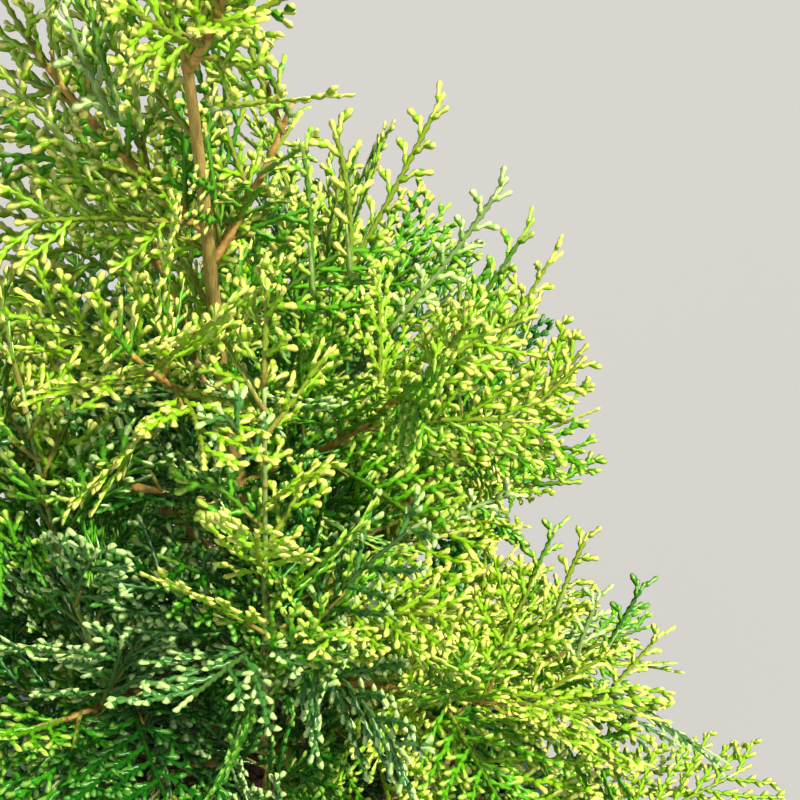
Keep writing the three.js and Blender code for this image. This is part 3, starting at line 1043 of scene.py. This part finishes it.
# Patches of painted sunlight and painted shade: centre, radius, how much yellower (lighter tints, painted
# sunlight; below 0 darker, painted shade), and share of more silvered sprays
sunShadePatches = (
    ((-0.03, -0.09, 0.43), 0.075, -0.3, 0.55),
    ((0.022, -0.05, 0.505), 0.04, -0.28, 0.25),
    ((-0.045, -0.03, 0.485), 0.045, -0.28, 0.25),
    ((-0.03, -0.01, 0.58), 0.055, 0.26, -0.03),
    ((0.07, -0.05, 0.425), 0.055, 0.28, -0.03),
    ((0.12, -0.04, 0.36), 0.065, 0.28, 0),
    ((0.17, -0.02, 0.28), 0.06, 0.22, 0),
)


# Outer, higher and sunward sprays are the yellower ones: partly their own colour, partly painted sunlight,
# and the inner, lower and shaded-side ones darker as painted shade
yellowAndSunlit = {
    "outward": 0.4, "sunward": 0.38,
    "sunAcross": 0.8, "sunBehind": 0.2, "sunReach": 0.15,
    "rise": 1.8, "topRise": 2.2, "topFrom": 0.47,
    "chance": 0.14, "leastReach": 0.03,
    "ends": (-0.98, -0.74, -0.56),  # where sunlit, fresh and mid end, counted down
}


def pickTint(place, random):
    reach = float(crownRadius(place.z, math.atan2(place.y, place.x)))
    outward = math.hypot(place.x, place.y) / max(yellowAndSunlit["leastReach"], reach)
    # Sunward means towards the sun lamp: sprays there take lighter tints, partly painted sunlight
    sunny = place.x * yellowAndSunlit["sunAcross"] + place.y * yellowAndSunlit["sunBehind"]
    sunward = 0.5 + 0.5 * sunny / yellowAndSunlit["sunReach"]
    rise = yellowAndSunlit["rise"] * (place.z - pot["height"])
    # Near the top, tints grow lighter still: painted sunlight on sprays that the crown's top shades
    rise += yellowAndSunlit["topRise"] * max(0, place.z - yellowAndSunlit["topFrom"])
    amount = yellowAndSunlit["outward"] * outward + yellowAndSunlit["sunward"] * sunward + rise
    amount += random.normal(0, yellowAndSunlit["chance"])
    silvered = 0.03
    # Each patch adds painted sunlight where it is yellower and painted shade where it is less so, and
    # silvered sprays, by nearness
    for centre, radius, yellowerAndSunnier, share in sunShadePatches:
        near = math.exp(-(((place - Vector(centre)).length / radius) ** 2))
        amount += yellowerAndSunnier * near
        silvered += share * near
    if random.uniform() < silvered:
        return list(tints).index("silvered")
    return int(np.digitize(-amount, yellowAndSunlit["ends"]))


def turned(vector, angle, axis):
    return Matrix.Rotation(angle, 3, axis) @ vector


# The mass whose stem is nearest to a point
def ownerOf(point):
    return int(np.argmin(stemDistances(np.array(point)[None])[0]))


# A spray in the tint that suits the place it reaches
def tintSpray(form, owner, base, heading, side, size, random):
    tint = pickTint(base + heading * size * form["tintAt"], random)
    placeSpray(owner, base, heading, side, size, tint, random, form["overlap"])


# The same, rolled about its heading and sized by chance
def rollSpray(form, owner, base, heading, side, length, random):
    side = turned(side, random.uniform(*form["rolls"]), heading.normalized())
    tintSpray(form, owner, base, heading, side, length * random.uniform(*form["sizes"]), random)


def twigAlong(curve, form, code):
    sweepTwig([curve(i / form["rings"]) for i in range(form["rings"] + 1)], form, code)


def dressMass(plan):
    index, curve, share = plan["index"], plan["stem"], plan["share"]
    own = seeded(index + 1)
    random = np.random.default_rng(index + seeds["mass"])
    longest = lerp(*foliage["lengths"], share)
    firstRoll = math.tau * next(own)
    count = round(lerp(*foliage["perStem"], share))
    for i in range(count):
        along = lerp(*foliage["along"], (i + 0.5 * next(own)) / count)
        tilt = foliage["tilt"] * lerp(-1, 1, next(own))
        size = longest * lerp(*foliage["sizes"], next(own))
        tangent = tangentOf(curve, along)
        out = turned(tangent.cross(up).normalized(), firstRoll + i * turn, tangent)
        heading = tangent * math.cos(foliage["spread"]) + out * math.sin(foliage["spread"])
        heading += up * foliage["lift"]
        heading.normalize()
        side = turned(tangent - heading * tangent.dot(heading), tilt, heading)
        tintSpray(foliage, index, curve(along), heading, side, size, random)
    heading = tangentOf(curve, 1) + up * foliage["lift"] / 2
    side = turned(heading.cross(up), math.pi * next(own), heading.normalized())
    base = curve(foliage["endAlong"])
    tint = pickTint(base + heading * longest * foliage["endTintAt"], random)
    placeSpray(index, base, heading, side, longest * foliage["endLength"], tint, random, foliage["overlap"])
    twigAlong(curve, stem, brownBark)


# Short sprays stand all along the leader and hide most of it
def dressLeader():
    random = np.random.default_rng(seeds["leader"])
    first, last = leader["along"]
    z, azimuth = first, 0
    while z < last:
        base = trunkPoint(trunkShare(z))
        out = polar(1, azimuth, 0)
        heading = out * leader["outward"] + up * random.uniform(*leader["upward"])
        side = turned(up, random.uniform(*leader["rolls"]), heading.normalized())
        size = lerp(*leader["lengths"], (z - first) / (last - first)) * random.uniform(*leader["sizes"])
        tint = pickTint(base + heading * size * leader["tintAt"], random)
        owner = ownerOf(base + heading * size / 2)
        if z <= leader["bareAbove"] or -out.y <= leader["bareFacing"]:
            placeSpray(owner, base, heading, side, size, tint, random, leader["overlap"])
        azimuth += turn
        z += leader["gap"] * random.uniform(*leader["gaps"])


# A side shoot is a small leader: a thin twig with short sprays all round it
def dressShoot(foot, tip, seed):
    random = np.random.default_rng(seed)
    foot, tip = Vector(foot), Vector(tip)
    middle = foot.lerp(tip, 0.5) + Vector((foot.x, foot.y, 0)) * shoot["bow"]
    curve = bendCurve(foot, middle, tip)
    owner = ownerOf(middle)
    count = round((tip - foot).length / shoot["gap"])
    azimuth = random.uniform(*anyWay)
    for i in range(count + 1):
        share = i / count
        tangent = tangentOf(curve, share)
        out = turned(tangent.cross(Vector((0, 1, 0))).normalized(), azimuth, tangent)
        heading = tangent + out * shoot["outward" if i < count else "endOutward"]
        length = lerp(*shoot["lengths"], share)
        rollSpray(shoot, owner, curve(share), heading, tangent.cross(out), length, random)
        azimuth += turn
    twigAlong(curve, shoot, greenBark)


def dressLone(foot, tip, tint, roll, seed):
    random = np.random.default_rng(seed)
    foot, tip = Vector(foot), Vector(tip)
    heading = tip - foot
    towards = (foot - Vector(camera["place"])).normalized()
    side = turned(heading.cross(towards), roll, heading.normalized())
    placeSpray(ownerOf(foot), foot, heading, side, heading.length, list(tints).index(tint), random)


# Short sprays along the boughs fill the crown towards the leader
def dressBough(plan):
    random = np.random.default_rng(plan["index"] + seeds["bough"])
    form, curve = boughSpray, plan["bough"]
    onward, outward, upward = form["heading"]
    for i in range(form["count"]):
        along = (i + form["firstAlong"]) / form["count"]
        tangent = tangentOf(curve, along)
        out = turned(tangent.cross(up), random.uniform(*form["turns"]) + math.pi * (i % 2), tangent)
        heading = tangent * onward + out * outward + up * upward
        rollSpray(form, plan["index"], curve(along), heading, tangent, form["length"], random)


# Dark, warm and pale shade of each
twigBarks = {
    "stem bark": ((120, 90, 42), (186, 142, 70), (214, 180, 108)),
    "young twig bark": ((104, 96, 40), (148, 128, 56), (156, 168, 70)),
    "green twig bark": ((96, 120, 52), (134, 160, 78), (170, 192, 116)),
}


def twigFinish(name, shades):
    finish = Finish(name, {"Specular IOR Level": 0.35})
    streak = finish.grain(finish.place(), 320, 5, 0.65)
    stops = [(place, tone(*shade)) for place, shade in zip((0.3, 0.5, 0.7), shades)]
    return finish.wear(finish.ramp(streak, stops), 0.75 - streak * 0.2, streak, 0.0004, 0.7)


def makeFoliage():
    for plan in plans:
        dressMass(plan)
        if not plan["onTrunk"]:
            dressBough(plan)
    dressLeader()
    for number, (foot, tip) in enumerate(shoots):
        dressShoot(foot, tip, seeds["shoot"] + number)
    for number, spot in enumerate(lone):
        dressLone(*spot, seeds["lone"] + number)
    finishes = leafFinishes()
    for group, heap in sorted(leafHeaps.items()):
        nodes = [f"mass_{index + 1:02d}" for index in range(len(plans)) if groupOf(index) == group]
        carry(heap.piece(f"foliage_{group + 1}", finishes), "foliage", *nodes)
    carry(twigHeap.piece("twigs", [twigFinish(*named) for named in twigBarks.items()]), "bark")


makeFoliage()
print("foliage made")


# Floor and soft studio light
studio = {
    "floor": tone(150, 150, 149), "floorSize": 30,
    "sky": ((0.3, (0.62, 0.64, 0.66, 1)), (0.62, (0.2, 0.22, 0.25, 1))),  # pale low down, dimmer overhead
    "aim": (0, 0, 0.42),
    "sunFrom": (0.62, -0.2, 1.08), "fillFrom": (-1.3, -1.1, 1.1),
}
sunlight = {"energy": 6.8, "angle": math.radians(4), "color": (1, 0.96, 0.88)}
fillLight = {"shape": "DISK", "size": 2, "energy": 8, "color": (0.88, 0.94, 1)}


def hang(name, kind, settings, place, towards):
    data = bpy.data.lights.new(name, kind)
    for setting, value in settings.items():
        setattr(data, setting, value)
    lamp = newObject(name, data)
    lamp.location = place
    lamp.rotation_euler = (Vector(towards) - Vector(place)).to_track_quat("-Z", "Y").to_euler()


def makeStudio():
    bm = bmesh.new()
    bmesh.ops.create_grid(bm, x_segments=1, y_segments=1, size=studio["floorSize"])
    finish = Finish("pale floor", {"Roughness": 0.9, "Base Color": studio["floor"]})
    shapePiece("floor", bm, [finish])
    sky = Finish("studio", kind="worlds", shader="Background")
    spot = sky.node("ShaderNodeTexCoord", output="Generated")
    sky.set({"Color": sky.ramp(sky.height(spot), studio["sky"])})
    bpy.context.scene.world = sky.data
    hang("sun", "SUN", sunlight, studio["sunFrom"], (0, 0, 0))
    hang("fill", "AREA", fillLight, studio["fillFrom"], studio["aim"])


makeStudio()
print("studio made")
